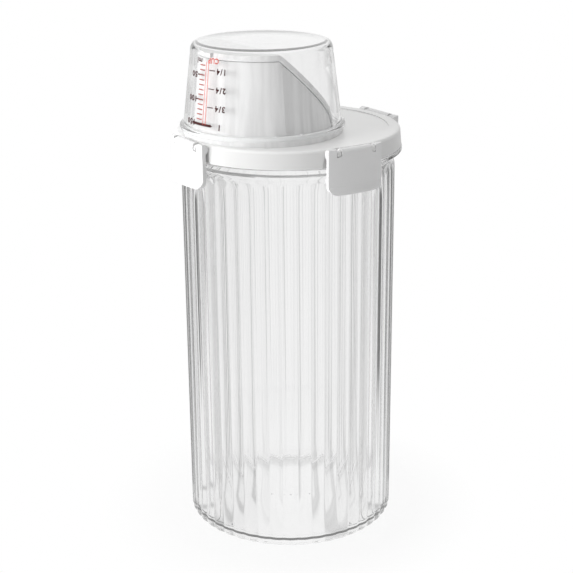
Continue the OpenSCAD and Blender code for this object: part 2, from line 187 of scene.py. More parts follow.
class Builder:
    """A shader or geometry node tree under construction."""

    def __init__(self, tree: Tree) -> None:
        """Clears the tree and gives it to this builder."""
        self.tree = tree
        tree.nodes.clear()

    def node(self, kind: str, settings: Optional[dict] = None, **inputs: object) -> Node:
        """Adds a node, sets it up and then fills its sockets.

        Args:
            kind: The node's type name.
            settings: Attributes to set before the sockets.
            **inputs: Values, Signals or sockets by input name, with _ for a space.

        Returns:
            The new node.
        """
        node = self.tree.nodes.new(kind)
        for name, value in (settings or {}).items():
            setattr(node, name, value)
        for name, value in inputs.items():
            self.feed(node.inputs[name.replace("_", " ")], value)
        return node

    def feed(self, socket: Socket, value: object) -> None:
        """Links or sets one input socket. A colour is set without its alpha, which is 1."""
        if isinstance(value, Signal):
            self.tree.links.new(value.socket, socket)
        elif isinstance(value, Socket):
            self.tree.links.new(value, socket)
        elif socket.type == "RGBA":
            socket.default_value = (*value, 1.0)
        else:
            socket.default_value = value

    def signal(self, node: Node, output: Union[int, str] = 0) -> Signal:
        """Wraps one of a node's outputs as a Signal."""
        return Signal(self.tree, node.outputs[output])

    def axes(self, vector: Socket) -> tuple[Signal, Signal, Signal]:
        """The X, Y and Z of a vector."""
        parts = self.node("ShaderNodeSeparateXYZ", Vector=vector)
        return self.signal(parts, "X"), self.signal(parts, "Y"), self.signal(parts, "Z")

    def place(self) -> Socket:
        """The object coordinates of the shaded point, in metres."""
        return self.node("ShaderNodeTexCoord").outputs["Object"]

    def noise(self, scale: float, detail: float = 3.0, stretch: Optional[Vector] = None) -> Signal:
        """A noise that lies in the object.

        Args:
            scale: Cells for each metre.
            detail: Octaves of finer noise.
            stretch: Factors on the three axes, or None for even noise.

        Returns:
            The noise, about 0.3 to 0.7.
        """
        where = self.place()
        if stretch is not None:
            where = self.node("ShaderNodeMapping", Vector=where, Scale=stretch).outputs[0]
        node = self.node("ShaderNodeTexNoise", Vector=where, Scale=scale, Detail=detail)
        return self.signal(node, "Fac")

    def stripes(self, along: Signal, scale: float, contrast: float = 7.0) -> Signal:
        """Uneven stripes across a coordinate.

        Args:
            along: The coordinate that they follow one after another.
            scale: Stripes for each unit of it.
            contrast: How hard their edges are.

        Returns:
            The stripes, 0 to 1.
        """
        line = self.node("ShaderNodeCombineXYZ", X=along)
        node = self.node("ShaderNodeTexNoise", Vector=line.outputs[0], Scale=scale, Detail=2.0)
        return self.signal(node, "Fac").ramp(0.5, contrast)

    def bump(self, height: Signal, strength: float, distance: float) -> Socket:
        """A bumped normal from a height."""
        node = self.node("ShaderNodeBump", Strength=strength, Distance=distance, Height=height)
        return node.outputs[0]

    def mix(self, factor: Signal, first: Colour, second: Colour) -> Socket:
        """A colour between two colours."""
        node = self.node("ShaderNodeMix", {"data_type": "RGBA"})
        sockets = {socket.identifier: socket for socket in node.inputs}
        self.feed(sockets["Factor_Float"], factor)
        self.feed(sockets["A_Color"], first)
        self.feed(sockets["B_Color"], second)
        return next(socket for socket in node.outputs if socket.identifier == "Result_Color")

    def blend(self, factor: Signal, first: Node, second: Node) -> Node:
        """A Mix Shader of two shaders."""
        both = self.node("ShaderNodeMixShader")
        for socket, value in zip(both.inputs, (factor, first.outputs[0], second.outputs[0])):
            self.feed(socket, value)
        return both

    def surface(self, shader: Node) -> None:
        """Ends the tree in a material output."""
        self.node("ShaderNodeOutputMaterial", Surface=shader.outputs[0])


def new_material(name: str) -> tuple[Material, Builder]:
    """Makes an empty node material and the builder of its tree."""
    material = bpy.data.materials.new(name)
    material.use_nodes = True
    return material, Builder(material.node_tree)


# ---- finishes


@dataclass(frozen=True)
class MouldedPlastic:
    """Opaque plastic with a soft mould finish.

    Its colour drifts towards the shade colour in random clouds, in painted reflection streaks up the
    steep walls and, sharply, in a painted shade below one height. Lengths are in metres.
    """

    name: str
    colour: Colour
    shade: Colour
    roughness: float
    grain: float = 2600.0
    grain_depth: float = 0.00002
    grain_swing: float = 0.12
    cloud: float = 38.0
    cloud_from: float = 0.35
    cloud_gain: float = 3.0
    cloud_swing: float = 0.16
    # Painted reflections: vertical streaks of the shade colour on steep walls.
    streaks: float = 0.0
    streak_scale: float = 230.0
    streak_pull: float = 0.03
    streak_from: float = 0.4
    streak_gain: float = 4.0
    slope_tone: float = 0.4
    steep_from: float = 1.6
    steep_gain: float = 4.0
    # Painted shade: below this height the colour turns to the shade colour, by this share and
    # steepness.
    painted_shade_below: float = 0.0
    painted_shade_share: float = 0.0
    painted_shade_gain: float = 1600.0

    def build(self) -> Material:
        """Builds the material.

        Returns:
            The finished material.
        """
        material, s = new_material(self.name)
        cloud = s.noise(self.cloud, 2.0)
        grain = s.noise(self.grain, 2.0)
        blend = cloud.ramp(self.cloud_from, self.cloud_gain)
        # Painted reflections: streaks of the shade colour up the steep walls.
        if self.streaks:
            blend = blend * (1.0 - self.streaks) + self.painted_reflections(s) * self.streaks
        # Painted shade: the colour darkens sharply below one height, as a side wall under a lit top
        # looks in shade.
        if self.painted_shade_share:
            painted_shade = ((self.painted_shade_below - s.axes(s.place())[2]) * self.painted_shade_gain).clamp()
            blend = blend * (1.0 - self.painted_shade_share) + painted_shade * self.painted_shade_share
        s.surface(s.node(
            "ShaderNodeBsdfPrincipled",
            Base_Color=s.mix(blend, self.colour, self.shade),
            Roughness=cloud.around(grain.around(self.roughness, self.grain_swing), self.cloud_swing),
            Normal=s.bump(grain, 0.35, self.grain_depth),
        ))
        return material

    def painted_reflections(self, s: Builder) -> Signal:
        """Painted reflection streaks on the steep walls, and an even tone on slopes and tops."""
        normal = s.node("ShaderNodeTexCoord").outputs["Normal"]
        steep = (self.steep_from - abs(s.axes(normal)[2]) * self.steep_gain).clamp()
        pulled = s.noise(self.streak_scale, 3.0, Vector((1.0, 1.0, self.streak_pull)))
        streak = pulled.ramp(self.streak_from, self.streak_gain)
        return streak * steep + (1.0 - steep) * self.slope_tone


@dataclass(frozen=True)
class ClearPlastic:
    """Clear moulded plastic with faint flow marks.

    Light and shadow pass straight through it, and rays caught inside it fade.
    """

    name: str
    tint: Colour
    index: float = 1.5
    roughness: float = 0.015
    flow: float = 55.0
    flow_depth: float = 0.00003
    haze: float = 420.0
    passes: Colour = grey(0.985)
    trapped: Colour = grey(0.6)
    mirror_limit: float = 2.0
    ray_limit: float = 8.0

    def build(self) -> Material:
        """Builds the material.

        Returns:
            The finished material.
        """
        material, s = new_material(self.name)
        flow = s.noise(self.flow, 2.0, Vector((1.0, 1.0, 0.25)))
        plastic = s.node(
            "ShaderNodeBsdfPrincipled",
            Base_Color=s.mix(flow, self.tint, grey(1.0)),
            Roughness=s.noise(self.haze, 3.0).around(self.roughness, 0.03),
            IOR=self.index,
            Transmission_Weight=1.0,
            Normal=s.bump(flow, 0.25, self.flow_depth),
        )
        through = s.node("ShaderNodeBsdfTransparent", Color=self.passes)
        dimmed = s.node("ShaderNodeBsdfTransparent", Color=self.trapped)
        rays = s.node("ShaderNodeLightPath")
        mirrored = s.signal(rays, "Glossy Depth").ramp(self.mirror_limit)
        late = (mirrored + s.signal(rays, "Ray Depth").ramp(self.ray_limit)).clamp()
        soft = (s.signal(rays, "Is Shadow Ray") + s.signal(rays, "Is Diffuse Ray")).clamp()
        s.surface(s.blend(soft, s.blend(late, plastic, dimmed), through))
        return material


@dataclass(frozen=True)
class Speckled:
    """A finish whose one fine speckle shifts its colour, its roughness and its surface."""

    name: str
    colour: Colour
    other: Colour
    roughness: float
    speckle: float
    depth: float
    detail: float = 3.0
    strength: float = 0.2
    other_from: float = 0.0
    other_gain: float = 1.0
    metallic: float = 0.0
    gloss: float = 0.5

    def build(self) -> Material:
        """Builds the material."""
        material, s = new_material(self.name)
        speckle = s.noise(self.speckle, self.detail)
        blend = speckle.ramp(self.other_from, self.other_gain)
        s.surface(s.node(
            "ShaderNodeBsdfPrincipled",
            Base_Color=s.mix(blend, self.colour, self.other),
            Metallic=self.metallic,
            Roughness=speckle.around(self.roughness, 0.2),
            Normal=s.bump(speckle, self.strength, self.depth),
            Specular_IOR_Level=self.gloss,
        ))
        return material


@dataclass(frozen=True)
class Silicone(Speckled):
    """Pale silicone rubber with a little dust."""

    name: str = "silicone"
    colour: Colour = (0.80, 0.81, 0.81)
    other: Colour = (0.88, 0.885, 0.885)
    roughness: float = 0.52
    speckle: float = 900.0
    depth: float = 0.00002


@dataclass(frozen=True)
class GroundSteel(Speckled):
    """Ground steel wire with a fine grain."""

    name: str = "pin_steel"
    colour: Colour = (0.62, 0.62, 0.63)
    other: Colour = (0.75, 0.75, 0.76)
    roughness: float = 0.3
    speckle: float = 5200.0
    depth: float = 0.00001
    detail: float = 2.0
    metallic: float = 1.0


@dataclass(frozen=True)
class Ink(Speckled):
    """Screen-printing ink, a little uneven."""

    roughness: float = 0.75
    speckle: float = 1400.0
    depth: float = 0.00001
    strength: float = 0.15
    other_from: float = 0.45
    other_gain: float = 3.0
    gloss: float = 0.08


# ---- mesh tools


def add_piece(name: str, mesh: Mesh, material: Material, body: Bodies,
              replaces: Sequence[str] = ()) -> bpy.types.Object:
    """Puts a finished mesh in the scene on its body and hides the nodes that it stands for.

    Args:
        name: The piece's name.
        mesh: The piece's mesh, in metres and in its place.
        material: The finish.
        body: The body it moves with.
        replaces: The nodes that it stands for.

    Returns:
        The new object.
    """
    piece = bpy.data.objects.new(name, mesh)
    bpy.context.scene.collection.objects.link(piece)
    mesh.materials.clear()
    mesh.materials.append(material)
    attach(piece, body.value)
    if replaces:
        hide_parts(*replaces)
    LOG.info("%s: %d faces on %s", name, len(mesh.polygons), body.value)
    return piece


def grid_mesh(name: str, rings: Sequence[Sequence[Vector]], mark: str = "",
              marked: Sequence[bool] = ()) -> Mesh:
    """A closed smooth skin through rings of points, each ring running the same way round.

    Args:
        name: The mesh's name.
        rings: Rings of equal length from one end to the other; the ends are points.
        mark: The name of a number kept on each point, or nothing.
        marked: For each ring, whether its points carry 1 there.

    Returns:
        The mesh, with its faces pointing outwards.
    """
    bm = bmesh.new()
    layer = bm.verts.layers.float.new(mark) if mark else None
    rows = [[bm.verts.new(p) for p in ring] for ring in rings]
    for row, here in zip(rows, marked):
        for vertex in row:
            vertex[layer] = float(here)
    count = len(rings[0])
    for low, high in zip(rows, rows[1:]):
        for i in range(count):
            j = (i + 1) % count
            bm.faces.new((low[i], low[j], high[j], high[i]))
    bmesh.ops.remove_doubles(bm, verts=bm.verts, dist=1e-7)
    bmesh.ops.recalc_face_normals(bm, faces=bm.faces)
    for face in bm.faces:
        face.smooth = True
    mesh = bpy.data.meshes.new(name)
    bm.to_mesh(mesh)
    bm.free()
    return mesh


def arc(centre: Point, radius: float, start: float, end: float, steps: int) -> list[Point]:
    """Points along an arc in a section.

    Args:
        centre: Its middle, as radius and height.
        radius: Its radius.
        start: The first point's angle in degrees.
        end: The last point's angle in degrees.
        steps: How many stretches it has.

    Returns:
        The points from start to end.
    """
    turns = (math.radians(start + (end - start) * i / steps) for i in range(steps + 1))
    return [(centre[0] + radius * math.cos(t), centre[1] + radius * math.sin(t)) for t in turns]


def stretch(first: Point, last: Point, steps: int) -> list[Point]:
    """Points along a straight line, without its last point."""
    return [
        (first[0] + (last[0] - first[0]) * i / steps, first[1] + (last[1] - first[1]) * i / steps)
        for i in range(steps)
    ]


def turned(section: Sequence[Point], centre: Point, sides: int) -> list[list[Vector]]:
    """Turns a section round an upright axis.

    Args:
        section: Radius and height of each point, in mm.
        centre: X and Y of the axis, in mm.
        sides: Points round the axis.

    Returns:
        A ring of points in metres for each point of the section.
    """
    turns = [math.tau * i / sides for i in range(sides)]
    return [
        [Vector((centre[0] + radius * math.cos(t), centre[1] + radius * math.sin(t), z)) * MM
         for t in turns]
        for radius, z in section
    ]


def geometry_tree(name: str, sizes: Sizes) -> Tree:
    """An empty geometry node tree with a named input for each size.

    Args:
        name: The tree's name.
        sizes: The sizes; a whole number makes a whole-number input.

    Returns:
        The tree, with a geometry input and output.
    """
    tree = bpy.data.node_groups.new(name, "GeometryNodeTree")
    face = tree.interface
    face.new_socket("Geometry", in_out="INPUT", socket_type="NodeSocketGeometry")
    for size, value in sizes.items():
        kind = "NodeSocketInt" if isinstance(value, int) else "NodeSocketFloat"
        face.new_socket(size, in_out="INPUT", socket_type=kind)
    face.new_socket("Geometry", in_out="OUTPUT", socket_type="NodeSocketGeometry")
    return tree


def finish_tree(g: Builder, geometry: Node, finish: Material) -> None:
    """Ends a geometry tree in Realize Instances, Set Material and the output."""
    real = g.node("GeometryNodeRealizeInstances", Geometry=geometry.outputs[0])
    paint = g.node("GeometryNodeSetMaterial", Geometry=real.outputs[0], Material=finish)
    g.node("NodeGroupOutput", Geometry=paint.outputs[0])


def run_tree(tree: Tree, seed: Mesh, sizes: Sizes) -> Mesh:
    """Runs a geometry node tree on a mesh and keeps its result as a plain mesh.

    Args:
        tree: The tree, removed here.
        seed: The mesh that it starts from, removed here.
        sizes: The value of each named input.

    Returns:
        The result.
    """
    holder = bpy.data.objects.new(tree.name + "_seed", seed)
    bpy.context.scene.collection.objects.link(holder)
    maker = holder.modifiers.new("maker", "NODES")
    maker.node_group = tree
    for item in tree.interface.items_tree:
        if item.in_out == "INPUT" and item.name in sizes:
            maker[item.identifier] = sizes[item.name]
    graph = bpy.context.evaluated_depsgraph_get()
    graph.update()
    made = bpy.data.meshes.new_from_object(holder.evaluated_get(graph))
    holder.modifiers.remove(maker)
    bpy.data.objects.remove(holder)
    bpy.data.meshes.remove(seed)
    bpy.data.node_groups.remove(tree)
    return made


# ---- the jar


@dataclass
class RibRule:
    """The rule of the ribs: each is a round bar let into the wall, with a round arch on the neck.

    Sizes are in metres.
    """

    count: int
    rib_r: float
    body_r: float
    neck_r: float
    rib_top: float
    mark: str = "ribbed"

    def sizes(self) -> Sizes:
        """The tree's named inputs and their values."""
        return {"Ribs": self.count, "Rib Radius": self.rib_r, "Body Radius": self.body_r,
                "Neck Radius": self.neck_r, "Rib Top": self.rib_top}

    def tree(self, finish: Material) -> Tree:
        """Builds the tree that pushes the marked points of a round wall out into ribs.

        Args:
            finish: The material that it sets last.

        Returns:
            The tree.
        """
        tree = geometry_tree("ribs", self.sizes())
        g = Builder(tree)
        into = g.node("NodeGroupInput")
        ribs, rib, body, neck, top = (g.signal(into, name) for name in self.sizes())
        x, y, z = g.axes(g.node("GeometryNodeInputPosition").outputs[0])
        turn = y.angle(x)
        pitch = math.tau / ribs
        off = (turn + pitch / 2.0).modulo(pitch) - pitch / 2.0
        axis = body - rib
        flat = rib - (body - neck)
        arch = top - (rib * rib - flat * flat).root()
        above = (z - arch).clamp()
        aside = axis * off.sine()
        square = (rib * rib - aside * aside - above * above).clamp()
        reach = (axis * off.cosine() + square.root() - neck).clamp()
        ribbed = g.node("GeometryNodeInputNamedAttribute", {"data_type": "FLOAT"}, Name=self.mark)
        outward = g.node("ShaderNodeCombineXYZ", X=turn.cosine(), Y=turn.sine())
        shift = g.node("ShaderNodeVectorMath", {"operation": "SCALE"}, Vector=outward.outputs[0],
                       Scale=reach * g.signal(ribbed, "Attribute"))
        moved = g.node("GeometryNodeSetPosition", Geometry=into.outputs["Geometry"],
                       Offset=shift.outputs[0])
        finish_tree(g, moved, finish)
        return tree

    def push(self, wall: Mesh, finish: Material) -> Mesh:
        """Turns a round wall, with its ribbed points marked, into a ribbed one."""
        mesh = run_tree(self.tree(finish), wall, self.sizes())
        mesh.attributes.remove(mesh.attributes[self.mark])
        return mesh


@dataclass
class Jar:
    """The clear ribbed jar. Sizes are in mm."""

    finish: Material
    rib_count: int = 48
    rib_steps: int = 10
    rib_r: float = 8.0
    rib_top: float = 195.5
    rib_clear: float = 0.5
    body_r: float = 55.0
    neck_r: float = 53.985
    bore_r: float = 52.085
    base_round: float = 2.2
    foot_w: float = 7.0
    foot_depth: float = 1.2
    foot_slope: float = 0.9
    foot_round: float = 0.5
    recess_round: float = 0.6
    gate_r: float = 3.0
    gate_h: float = 0.2
    floor_t: float = 3.2
    floor_round: float = 3.0
    shoulder_h: float = 5.0
    shoulder_start: float = 0.6
    flange_t: float = 2.5
    flange_round: float = 0.5
    flange_lift: float = 0.2
    rim_r: float = 55.285
    rim_h: float = 6.5
    rim_step: float = 0.3
    rim_round: float = 0.6
    mouth_step: float = 1.0
    mouth_drop: float = 1.0
    mouth_end: float = 2.0
    flange_r: float = field(init=False)

    def __post_init__(self) -> None:
        """Takes the flange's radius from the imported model."""
        low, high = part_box("container")
        self.flange_r = (high.x - low.x) / 2 / MM

    def build(self) -> bpy.types.Object:
        """Builds the jar's one closed skin, from the foot's middle round to the floor's middle."""
        section = self.foot_section()
        first = len(section)
        section += self.ribbed_section()
        last = len(section)
        section += self.upper_section()
        rule = RibRule(self.rib_count, self.rib_r * MM, self.body_r * MM, self.neck_r * MM,
                       self.rib_top * MM)
        rings = turned(section, (0.0, 0.0), self.rib_count * self.rib_steps)
        marked = [first <= i < last for i in range(len(section))]
        mesh = rule.push(grid_mesh("jar_wall", rings, rule.mark, marked), self.finish)
        mesh.name = "jar_shell"
        return add_piece("jar_shell", mesh, self.finish, Bodies.JAR, ["container"])

    def foot_section(self) -> list[Point]:
        """The underside in section, from its middle out to the foot ring."""
        foot_r = self.body_r - self.foot_w
        edge, ring = self.recess_round, self.foot_round
        waves = 8
        points = [(self.gate_r * i / waves,
                   self.foot_depth - self.gate_h * (0.5 + 0.5 * math.cos(math.pi * i / waves)))
                  for i in range(waves + 1)]
        points.append((foot_r / 2, self.foot_depth))
        points += arc((foot_r - edge, self.foot_depth - edge), edge, 90, 20, 4)
        points += arc((foot_r + self.foot_slope, ring), ring, 200, 270, 4)
        return points

    def ribbed_section(self) -> list[Point]:
        """The outer wall in section before the ribs, with close rings where their arches are."""
        corner = (self.neck_r - self.base_round, self.base_round)
        arches = self.rib_top - self.rib_r
        top = self.rib_top + self.rib_clear
        points = arc(corner, self.base_round, -90, 0, 7)[1:]
        points += stretch((self.neck_r, self.base_round), (self.neck_r, arches), 14)
        points += stretch((self.neck_r, arches), (self.neck_r, top), 26)
        points.append((self.neck_r, top))
        return points

    def upper_section(self) -> list[Point]:
        """The shoulder, flange, rim, bore and floor in section."""
        rise = self.flange_r - self.neck_r
        hollow = (self.shoulder_h ** 2 + rise ** 2) / (2 * rise)
        sweep = math.degrees(math.asin(self.shoulder_h / hollow))
        under = self.rib_top + self.shoulder_h
        top = under + self.flange_t
        rim_top = top + self.rim_h
        edge, lip = self.flange_round, self.rim_round
        mouth_r = self.bore_r + self.mouth_step
        mouth_low = (mouth_r, under - self.mouth_end)
        bore_top = (self.bore_r, self.rib_top)
        corner = (self.bore_r - self.floor_round, self.floor_t + self.floor_round)
        shoulder = (self.neck_r + hollow, self.rib_top + self.shoulder_start)
        points = arc(shoulder, hollow, 180, 180 - sweep, 10)[1:-1]
        points += arc((self.flange_r - edge, under + edge + self.flange_lift), edge, -30, 0, 3)
        points += arc((self.flange_r - edge, top - edge), edge, 0, 90, 4)
        points += [(self.rim_r + self.rim_step, top), (self.rim_r, top + self.rim_step)]
        points += arc((self.rim_r - lip, rim_top - lip), lip, 0, 90, 4)
        points += arc((mouth_r + lip, rim_top - lip), lip, 90, 180, 4)
        points += stretch((mouth_r, rim_top - self.mouth_drop), mouth_low, 3)
        points += stretch(mouth_low, bore_top, 3)
        points += stretch(bore_top, (self.bore_r, corner[1]), 12)
        points += arc(corner, self.floor_round, 0, -90, 14)
        points += [(radius, self.floor_t) for radius in (self.bore_r * 0.6, self.gate_r, 0.0)]
        return points


# ---- the cup


@dataclass
class MeasuringCup:
    """The clear measuring cup, upside down over the spout. Sizes are in mm."""

    finish: Material
    radius: float = 39.65
    wall: float = 1.8
    draft: float = 0.121
    edge: float = 4.0
    wall_start: float = 5.0
    ceiling: float = 1.5
    inner_round: float = 1.6
    ridge_z: float = 245.6
    ridge: float = 0.15
    ridge_h: float = 0.3
    lip_h: float = 3.3
    flare: float = 2.05
    flare_start: Point = (0.5, 0.9)
    lip_round: float = 0.7
    lip_round_z: float = 1.3
    foot_round: float = 0.5
    inner_foot_round: float = 0.4
    inner_flare_z: Point = (1.5, 2.5)
    film: float = 0.03
    scale_turn: float = -135.3
    sides: int = 240
    bottom: float = field(init=False)
    top: float = field(init=False)
    centre: Point = field(init=False)

    def __post_init__(self) -> None:
        """Takes the cup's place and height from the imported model."""
        low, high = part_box("cup")
        self.bottom, self.top = low.z / MM, high.z / MM
        self.centre = ((low.x + high.x) / 2 / MM, (low.y + high.y) / 2 / MM)

    def build(self) -> bpy.types.Object:
        """Builds the cup."""
        section = self.outer_section() + self.inner_section()
        mesh = grid_mesh("cup_shell", turned(section, self.centre, self.sides))
        return add_piece("cup_shell", mesh, self.finish, Bodies.CUP, ["cup"])

    def outer(self, z: float) -> float:
        """The outer radius of the cup's wall at a height."""
        return self.radius - self.draft * (z - self.bottom - self.lip_h)

    def lean(self) -> float:
        """The wall's lean in degrees."""
        return math.degrees(math.atan(self.draft))

    def outer_section(self) -> list[Point]:
        """The outside in section, from the middle of the top down to the lip's foot."""
        corner_z = self.top - self.edge
        corner = (self.outer(corner_z) - self.edge, corner_z)
        wall_z = self.top - self.wall_start
        lip_top = self.bottom + self.lip_h
        lip_r = self.radius + self.flare
        lip, foot = self.lip_round, self.foot_round
        out, down = self.flare_start
        points: list[Point] = [(0.0, self.top), (corner[0] / 2, self.top)]
        points += arc(corner, self.edge, 90, self.lean(), 10)
        points += stretch((self.outer(wall_z), wall_z), (self.outer(lip_top), lip_top), 8)
        points += [(self.outer(lip_top), lip_top), (self.radius + out, lip_top - down)]
        points += arc((lip_r - lip, self.bottom + self.lip_round_z), lip, 70, 0, 4)
        points += arc((lip_r - foot, self.bottom + foot), foot, 0, -90, 4)
        return points

    def inner_section(self) -> list[Point]:
        """The inside in section, from the lip's foot up to the middle of the ceiling."""
        inner_r = self.radius - self.wall
        inner_lip = inner_r + self.flare
        foot = self.inner_foot_round
        low, high = self.inner_flare_z
        lip_top = self.bottom + self.lip_h
        ridge_r = self.outer(self.ridge_z) - self.wall
        inner_z = self.top - self.ceiling - self.inner_round
        last = (self.outer(inner_z) - self.wall, inner_z)
        corner_r = self.outer(self.top - self.edge) - self.edge
        points = arc((inner_lip + foot, self.bottom + foot), foot, 270, 180, 3)
        points += [(inner_lip, self.bottom + low), (inner_r + self.flare_start[0], self.bottom + high)]
        points += stretch((self.outer(lip_top) - self.wall, lip_top),
                          (ridge_r, self.ridge_z - self.ridge_h), 6)
        points += stretch((ridge_r - self.ridge, self.ridge_z), last, 5)
        points += arc((last[0] - self.inner_round, inner_z), self.inner_round, self.lean(), 90, 8)
        points += [(corner_r / 2, self.top - self.ceiling), (0.0, self.top - self.ceiling)]
        return points

    def wrap(self, mesh: Mesh) -> None:
        """Bends a flat print onto the outside of the cup.

        The print reads along +X and up +Y for the upright cup; here the cup stands
        upside down, so +X runs the other way round it and +Y points down.

        Args:
            mesh: The flat print in mm, with Y as minus the height in the scene.
        """
        for vertex in mesh.vertices:
            x, y, up = vertex.co
            z = -y
            radius = self.outer(z) + self.film + max(0.0, up)
            turn = math.radians(self.scale_turn) - x / self.radius
            vertex.co = Vector((
                self.centre[0] + radius * math.cos(turn),
                self.centre[1] + radius * math.sin(turn),
                z,
            )) * MM
        mesh.update()

    def print_film(self, bm: bmesh.types.BMesh, name: str, ink: Material) -> None:
        """Wraps flat faces onto the cup as a fine film of ink.

        Args:
            bm: The flat faces, freed here.
            name: The piece's name.
            ink: The ink.
        """
        made = bmesh.ops.extrude_face_region(bm, geom=list(bm.faces))
        lifted = [v for v in made["geom"] if isinstance(v, bmesh.types.BMVert)]
        bmesh.ops.translate(bm, verts=lifted, vec=(0.0, 0.0, self.film))
        mesh = bpy.data.meshes.new(name)
        bm.to_mesh(mesh)
        bm.free()
        self.wrap(mesh)
        fixed = bmesh.new()
        fixed.from_mesh(mesh)
        bmesh.ops.recalc_face_normals(fixed, faces=fixed.faces)
        fixed.to_mesh(mesh)
        fixed.free()
        add_piece(name, mesh, ink, Bodies.CUP)


# ---- the printed scale


@dataclass
class PrintedWord:
    """One printed word or number, placed in the cup's own upright reading frame, in mm."""

    text: str
    across: float
    z: float
    size: float
    bold: float = 0.12
    spread: float = 1.15
    wide: float = 1.0

    def mesh(self, name: str, ink: Material) -> Mesh:
        """Makes the flat word in its place."""
        curve = bpy.data.curves.new(name, "FONT")
        curve.body = self.text
        curve.size = self.size
        curve.align_x = "CENTER"
        curve.align_y = "CENTER"
        curve.resolution_u = 3
        curve.offset = self.bold
        curve.space_character = self.spread
        word = bpy.data.objects.new(name, curve)
        bpy.context.scene.collection.objects.link(word)
        graph = bpy.context.evaluated_depsgraph_get()
        flat = bpy.data.meshes.new_from_object(word.evaluated_get(graph))
        place = Matrix.Translation((self.across, -self.z, 0.0))
        flat.transform(place @ Matrix.Diagonal((self.wide, 1.0, 1.0, 1.0)))
        flat.materials.append(ink)
        bpy.data.objects.remove(word)
        bpy.data.curves.remove(curve)
        return flat


@dataclass
class MarkLadder:
    """A column of printed bars, made by a node tree that repeats one bar. Sizes are in mm.

    Its place is the middle of the first, uppermost bar.
    """

    across: float
    z: float
    width: float
    breadth: float
    count: int = 1
    pitch: float = 1.0

    def sizes(self) -> Sizes:
        """The tree's named inputs and their values."""
        return {"Count": self.count, "Pitch": self.pitch, "Width": self.width, "Breadth": self.breadth}

    def tree(self, ink: Material) -> Tree:
        """Builds the node tree, which sets the ink last."""
        tree = geometry_tree("mark_ladder", self.sizes())
        g = Builder(tree)
        into = g.node("NodeGroupInput")
        count, pitch, width, breadth = (g.signal(into, name) for name in self.sizes())
        step = g.node("ShaderNodeCombineXYZ", Y=pitch)
        line = g.node("GeometryNodeMeshLine", Count=count, Offset=step.outputs[0])
        bar = g.node("GeometryNodeMeshGrid", Vertices_X=14, Vertices_Y=2, Size_X=width, Size_Y=breadth)
        repeat = g.node("GeometryNodeInstanceOnPoints", Points=line.outputs[0], Instance=bar.outputs[0])
        finish_tree(g, repeat, ink)
        return tree

    def mesh(self, name: str, ink: Material) -> Mesh:
        """Makes the flat bars in their place, one under another."""
        flat = run_tree(self.tree(ink), bpy.data.meshes.new(name), self.sizes())
        flat.transform(Matrix.Translation((self.across, -self.z, 0.0)))
        return flat


@dataclass
class CupScale:
    """The scale printed on the cup. Sizes are in mm, and heights are those of the capped cup."""

    cup: MeasuringCup
    red: Material
    brown: Material
    dark: Material
    full: float = 220.6
    ten_ml: float = 2.35
    quarter: float = 8.75
    number_turn: float = 16.182
    fraction_across: float = -9.9
    line_top: float = 250.5
    line_across: float = 0.9
    line_breadth: float = 0.38

    def build(self) -> None:
        """Prints the millilitres, the quarters of a cup, the unit words and the lines."""
        self.millilitres()
        self.quarters()
        cup_word = PrintedWord("CUP", -4.2, 251.6, size=3.6)
        ml_word = PrintedWord("ml", 6.9, 250.8, size=3.6, bold=0.1, spread=1.1, wide=1.3)
        full_line = MarkLadder(2.5, self.full, width=14.5, breadth=1.3)
        self.press("scale_word_cup", [cup_word], self.red)
        self.press("scale_word_ml", [ml_word], self.dark)
        self.press("scale_full_line", [full_line], self.dark)
        middle = (self.line_top + self.full) / 2
        length = self.line_top - self.full
        for index, across in enumerate((-self.line_across, self.line_across)):
            line = MarkLadder(across, middle, width=self.line_breadth, breadth=length)
            self.press(f"scale_line_{index + 1}", [line], self.red)

    def millilitres(self) -> None:
        """Prints a small mark every 10 ml, and a long one and a number every 50 ml."""
        fifty = 5 * self.ten_ml
        across = self.cup.radius * math.radians(self.number_turn)
        top = self.full + 12 * self.ten_ml
        small = MarkLadder(3.9, top, width=4.2, breadth=0.55, count=12, pitch=self.ten_ml)
        long = MarkLadder(5.0, self.full + 2 * fifty, width=5.6, breadth=0.6, count=2, pitch=fifty)
        self.press("scale_marks_ml", [small], self.brown)
        self.press("scale_marks_long", [long], self.dark)
        numbers = (
            ("50", 2 * fifty - 0.2, 0.12, 1.6),
            ("100", fifty - 0.1, 0.12, 1.45),
            ("150", 0.3, 0.14, 1.45),
        )
        self.press("scale_numbers_ml", [
            PrintedWord(text, across, self.full + up, size=3.7, bold=bold, spread=1.1, wide=wide)
            for text, up, bold, wide in numbers
        ], self.dark)

    def quarters(self) -> None:
        """Prints the quarters of a cup, on the other side of the upright lines."""
        top = self.full + 3 * self.quarter
        ladder = MarkLadder(-3.6, top, width=4.0, breadth=0.45, count=4, pitch=self.quarter)
        self.press("scale_marks_cup", [ladder], self.dark)
        across, low = self.fraction_across, self.full - 0.1
        self.press("scale_numbers_cup", [
            PrintedWord(text, across, low + left * self.quarter, size=3.8, bold=0.14, spread=1.3)
            for text, left in (("1/4", 3), ("2/4", 2), ("3/4", 1), ("1", 0))
        ], self.dark)

    def press(self, name: str, marks: Sequence[Union[PrintedWord, MarkLadder]], ink: Material) -> None:
        """Prints words or bars on the cup as one piece.

        Args:
            name: The piece's name.
            marks: What to print.
            ink: The ink.
        """
        bm = bmesh.new()
        for mark in marks:
            flat = mark.mesh(name + "_flat", ink)
            bm.from_mesh(flat)
            bpy.data.meshes.remove(flat)
        bmesh.ops.remove_doubles(bm, verts=bm.verts, dist=1e-4)
        self.cup.print_film(bm, name, ink)


# ---- the lid


